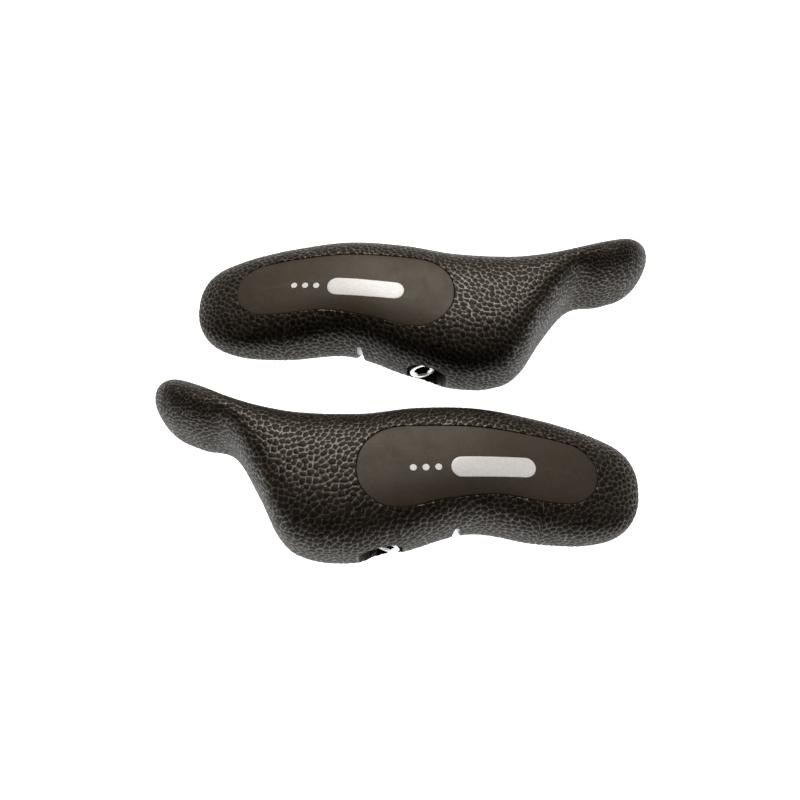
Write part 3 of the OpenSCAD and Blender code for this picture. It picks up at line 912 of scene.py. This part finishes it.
def aluminium_material():
    """Cast aluminium with a sandy skin and the marks of the tool that bored it."""
    m = Shader("cast_aluminium", Metallic=1.0)
    colour = m.mixed(m.ranged(m.noise(3, 4), 0.3, 0.7, 0, 1), (0.56, 0.565, 0.57, 1), (0.70, 0.70, 0.695, 1))
    rough = m.ranged(m.noise(0.7, 3), 0.3, 0.7, 0.3, 0.48)
    rings = m.noise(0.35, 2, 0.5, (0.05, 0.05, 1))
    normal = m.bump(rings, 0.02)
    return m.wire(Base_Color=colour, Roughness=rough, Normal=m.bump(m.noise(0.25, 3), 0.03, normal))


def nylon_material():
    """Black glass-filled nylon with faint pale streaks of fibre."""
    m = Shader("frame_nylon", Specular_IOR_Level=0.5)
    streaks = m.noise(0.5, 3, 0.6, (1, 0.25, 1))
    colour = m.mixed(m.ranged(streaks, 0.5, 0.75, 0, 1), (0.016, 0.016, 0.017, 1), (0.045, 0.045, 0.046, 1))
    rough = m.ranged(m.noise(1.5, 3), 0.3, 0.7, 0.4, 0.6)
    return m.wire(Base_Color=colour, Roughness=rough, Normal=m.bump(m.noise(0.2, 3), 0.03))


def socket_shade_material():
    """Painted shade: a near-black finish for the inside of the hex socket."""
    m = Shader("socket_painted_shade", Specular_IOR_Level=0.3)
    colour = m.mixed(m.ranged(m.noise(0.9, 3), 0.35, 0.7, 0, 1), (0.006, 0.006, 0.006, 1), (0.02, 0.018, 0.016, 1))
    rough = m.ranged(m.noise(0.5, 3), 0.3, 0.7, 0.4, 0.65)
    return m.wire(Base_Color=colour, Roughness=rough, Normal=m.bump(m.noise(0.2, 2), 0.02))


def metal_material(name, dark, light, smoothest, roughest, scratch):
    """Plated metal with fine scratches and a slightly uneven plating."""
    m = Shader(name, Metallic=1.0)
    colour = m.mixed(m.ranged(m.noise(1.6, 4), 0.3, 0.7, 0, 1), (*dark, 1), (*light, 1))
    rough = m.ranged(m.noise(0.4, 4, 0.65), 0.35, 0.7, smoothest, roughest)
    return m.wire(Base_Color=colour, Roughness=rough, Normal=m.bump(m.noise(0.12, 2, 0.5, (1, 0.12, 1)), scratch))


MATERIALS = {
    "cover_rubber": rubber_material(),
    "pad_rubber": pad_material(),
    "badge_print": badge_material(),
    "cast_aluminium": aluminium_material(),
    "frame_nylon": nylon_material(),
    "bolt_chrome": metal_material("bolt_chrome", (0.80, 0.80, 0.79), (0.92, 0.92, 0.91), 0.3, 0.42, 0.004),
    # near-black painted shade for the inside of the bolt's hex socket
    "socket_painted_shade": socket_shade_material(),
    "washer_steel": metal_material("washer_steel", (0.50, 0.50, 0.50), (0.64, 0.64, 0.62), 0.25, 0.45, 0.01),
    "nut_steel": metal_material("nut_steel", (0.42, 0.42, 0.42), (0.58, 0.57, 0.55), 0.28, 0.5, 0.01),
}


def finish_cad_node(side, part, slot):
    """Gives a CAD node that stays in view its finish."""
    node = frame["nodes"][f"{side}_{part}"]
    node.data.materials.clear()
    node.data.materials.append(MATERIALS[slot])


# ---------------------------------------------------------------- camera, floor and light
AIM = Vector((-27.0, -24.1, 0.0)) * MM
CAMERA_ELEVATION = math.radians(62)
CAMERA_DISTANCE = 335.4 * MM
CAMERA_LENS = 42.9
FLOOR_HALF = 3.0
FLOOR_GLOW = 1.45
ROOM_GLOW = 0.015
KEY_OFFSET = (0.0, 0.46, 0.66)
KEY_SIZE = 0.36
KEY_POWER = 6.2
KEY_COLOUR = (1, 0.965, 0.925)


def make_camera():
    """The photograph's view: from the front, looking down."""
    camera = bpy.data.objects.new("camera", bpy.data.cameras.new("camera"))
    bpy.context.scene.collection.objects.link(camera)
    camera.data.sensor_width = 36
    camera.data.lens = CAMERA_LENS
    camera.data.clip_start = 0.01
    back = Vector((0, -math.cos(CAMERA_ELEVATION), math.sin(CAMERA_ELEVATION)))
    camera.location = AIM + back * CAMERA_DISTANCE
    camera.rotation_mode = "QUATERNION"
    camera.rotation_quaternion = (-back).to_track_quat("-Z", "Y")
    bpy.context.scene.camera = camera


def make_floor():
    """A pale table that glows a little, as a lit shooting table does."""
    corners = [(-1, -1, 0), (1, -1, 0), (1, 1, 0), (-1, 1, 0)]
    points = np.array(corners) * FLOOR_HALF + [*AIM.xy, 0]
    floor = new_object("floor", points, [(0, 1, 2, 3)])
    m = Shader("floor", Base_Color=(0.3, 0.3, 0.3, 1), Roughness=0.7, Specular_IOR_Level=0.0)
    m.surface.inputs["Emission Color"].default_value = (1, 1, 1, 1)
    m.surface.inputs["Emission Strength"].default_value = FLOOR_GLOW
    floor.data.materials.append(m.material)


def make_light(name, offset, size, power, colour):
    """A square soft light, offset from the aim in metres and turned towards it."""
    light = bpy.data.lights.new(name, "AREA")
    light.size = size
    light.energy = power
    light.color = colour
    lamp = bpy.data.objects.new(name, light)
    bpy.context.scene.collection.objects.link(lamp)
    lamp.location = AIM + Vector(offset)
    lamp.rotation_mode = "QUATERNION"
    lamp.rotation_quaternion = Vector(offset).to_track_quat("Z", "Y")


def make_world():
    """Pale to the camera, and dimmer as a light, as in a studio with dark sides."""
    world = bpy.data.worlds.new("world")
    bpy.context.scene.world = world
    world.use_nodes = True
    nodes, links = world.node_tree.nodes, world.node_tree.links
    seen = nodes["Background"]
    seen.inputs["Color"].default_value = (0.93, 0.93, 0.93, 1)
    dim = nodes.new("ShaderNodeBackground")
    dim.inputs["Color"].default_value = (1, 0.98, 0.95, 1)
    dim.inputs["Strength"].default_value = ROOM_GLOW
    path, mix = nodes.new("ShaderNodeLightPath"), nodes.new("ShaderNodeMixShader")
    links.new(path.outputs["Is Camera Ray"], mix.inputs["Fac"])
    links.new(dim.outputs[0], mix.inputs[1])
    links.new(seen.outputs[0], mix.inputs[2])
    links.new(mix.outputs[0], nodes["World Output"].inputs["Surface"])


make_camera()
make_floor()
make_world()
make_light("key", KEY_OFFSET, KEY_SIZE, KEY_POWER, KEY_COLOUR)
bpy.context.scene.view_settings.view_transform = "Standard"

FIRST_SEED = 7
for number, side in enumerate(SIDES):
    make_cover(side, FIRST_SEED + number)
    make_pad(side)
    make_badge(side, 1 if side == "left" else -1)
    make_bolt(side)
    make_washer(side)
    make_nut(side)
    finish_cad_node(side, "clamp", "cast_aluminium")
    finish_cad_node(side, "inner_frame", "frame_nylon")
